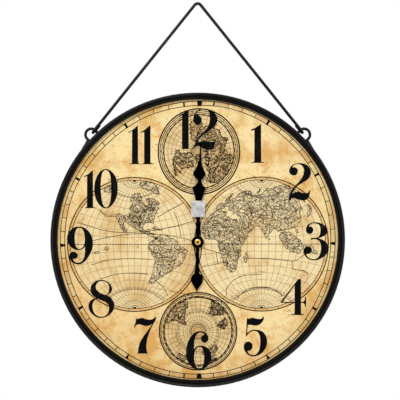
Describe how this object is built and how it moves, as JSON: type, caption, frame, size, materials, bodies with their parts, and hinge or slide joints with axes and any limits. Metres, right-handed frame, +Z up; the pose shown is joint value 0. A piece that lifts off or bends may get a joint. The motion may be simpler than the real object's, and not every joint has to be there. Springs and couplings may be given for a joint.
{
  "type": "wall clock",
  "caption": "Round hanging wall clock: steel rim, printed map dial, spade hands and battery quartz movement, hung by a bent rod hooked into wire eyes.",
  "frame": {"origin": "the point in the wall plane where the nail's upper side carries the underside of the hanger's bend, midway between the two arms", "axes": "+X to the viewer's right, the dial faces -Y, +Y goes into the wall, +Z straight up"},
  "size_m": [0.305, 0.035, 0.4005],
  "materials": {
    "black_paint": "satin black enamel on steel",
    "fibre_board": "plain fibre board",
    "printed_paper": "matt printed paper, aged tone",
    "zinc_steel": "zinc plated",
    "black_plastic": "moulded, fine grain",
    "white_plastic": "moulded, smooth",
    "black_rubber": "soft matt",
    "brass": "turned, polished",
    "black_hand": "stamped, black lacquer",
    "dark_steel": "dark steel",
    "plastic_film": "thin translucent grey film",
    "nickel_steel": "nickel plated",
    "copper_wire": "enamelled copper winding",
    "circuit_green": "lacquered circuit board",
    "cell_sleeve": "shrunk plain sleeve"
  },
  "bodies": {
    "hanger": {"hanger_rod": "black_paint"},
    "case": {"rim_drum": "black_paint", "bezel_bead": "black_paint", "bezel_ring": "black_paint", "dial_board": "fibre_board", "dial_paper": "printed_paper", "board_tabs": "zinc_steel", "tab_screws": "zinc_steel", "eye_left": "black_paint", "eye_right": "black_paint", "movement_case": "black_plastic", "movement_cover": "black_plastic", "train_bridge": "white_plastic", "rubber_washer": "black_rubber", "stem_washer": "brass", "stem_nut": "brass", "stator": "nickel_steel", "coil_core": "nickel_steel", "coil_bobbin": "white_plastic", "coil_winding": "copper_wire", "circuit_board": "circuit_green", "quartz_crystal": "nickel_steel", "chip_cap": "black_plastic", "contact_plus": "nickel_steel", "contact_minus": "nickel_steel"},
    "hour": {"hour_hand": "black_hand", "hour_collet": "black_hand", "hour_wheel": "white_plastic"},
    "minute": {"minute_hand": "black_hand", "minute_arbor": "dark_steel", "hand_nut": "brass", "shipping_film": "plastic_film"},
    "setting": {"motion_wheel": "white_plastic", "setting_knob": "white_plastic"},
    "second": {"second_wheel": "white_plastic"},
    "third": {"third_wheel": "white_plastic"},
    "centre": {"centre_wheel": "white_plastic"},
    "intermediate": {"intermediate_wheel": "white_plastic"},
    "rotor": {"rotor_pinion": "white_plastic", "rotor_magnet": "dark_steel"},
    "cell": {"cell_can": "nickel_steel", "cell_sleeve": "cell_sleeve"}
  },
  "joints": [
    {"name": "case_swing", "type": "hinge", "parent": "hanger", "child": "case", "pos_m": [0, -0.02115, -0.13011], "axis": [1, 0, 0], "range_deg": [-35, 35]},
    {"name": "minute_turn", "type": "hinge", "parent": "case", "child": "minute", "pos_m": [0, -0.021, -0.2471], "axis": [0, 1, 0], "continuous": true},
    {"name": "hour_turn", "type": "hinge", "parent": "case", "child": "hour", "pos_m": [0, -0.021, -0.2471], "axis": [0, 1, 0], "continuous": true},
    {"name": "setting_turn", "type": "hinge", "parent": "case", "child": "setting", "pos_m": [0.0108, -0.021, -0.2471], "axis": [0, 1, 0], "continuous": true},
    {"name": "second_turn", "type": "hinge", "parent": "case", "child": "second", "pos_m": [0, -0.021, -0.2471], "axis": [0, 1, 0], "continuous": true},
    {"name": "third_turn", "type": "hinge", "parent": "case", "child": "third", "pos_m": [-0.01005, -0.021, -0.24533], "axis": [0, 1, 0], "continuous": true},
    {"name": "centre_turn", "type": "hinge", "parent": "case", "child": "centre", "pos_m": [0, -0.021, -0.2471], "axis": [0, 1, 0], "continuous": true},
    {"name": "intermediate_turn", "type": "hinge", "parent": "case", "child": "intermediate", "pos_m": [0.0051, -0.021, -0.23827], "axis": [0, 1, 0], "continuous": true},
    {"name": "rotor_turn", "type": "hinge", "parent": "case", "child": "rotor", "pos_m": [0.01101, -0.021, -0.23722], "axis": [0, 1, 0], "continuous": true},
    {"name": "cell_pull", "type": "slide", "parent": "case", "child": "cell", "axis": [0, 1, 0], "range_m": [0, 0.02]}
  ],
  "couplings": [
    {"joint": "hour_turn", "follows": "minute_turn", "ratio": 0.083333},
    {"joint": "setting_turn", "follows": "minute_turn", "ratio": -0.33333},
    {"joint": "intermediate_turn", "follows": "second_turn", "ratio": -6},
    {"joint": "rotor_turn", "follows": "second_turn", "ratio": 30},
    {"joint": "third_turn", "follows": "second_turn", "ratio": -0.13333},
    {"joint": "centre_turn", "follows": "second_turn", "ratio": 0.016667}
  ]
}
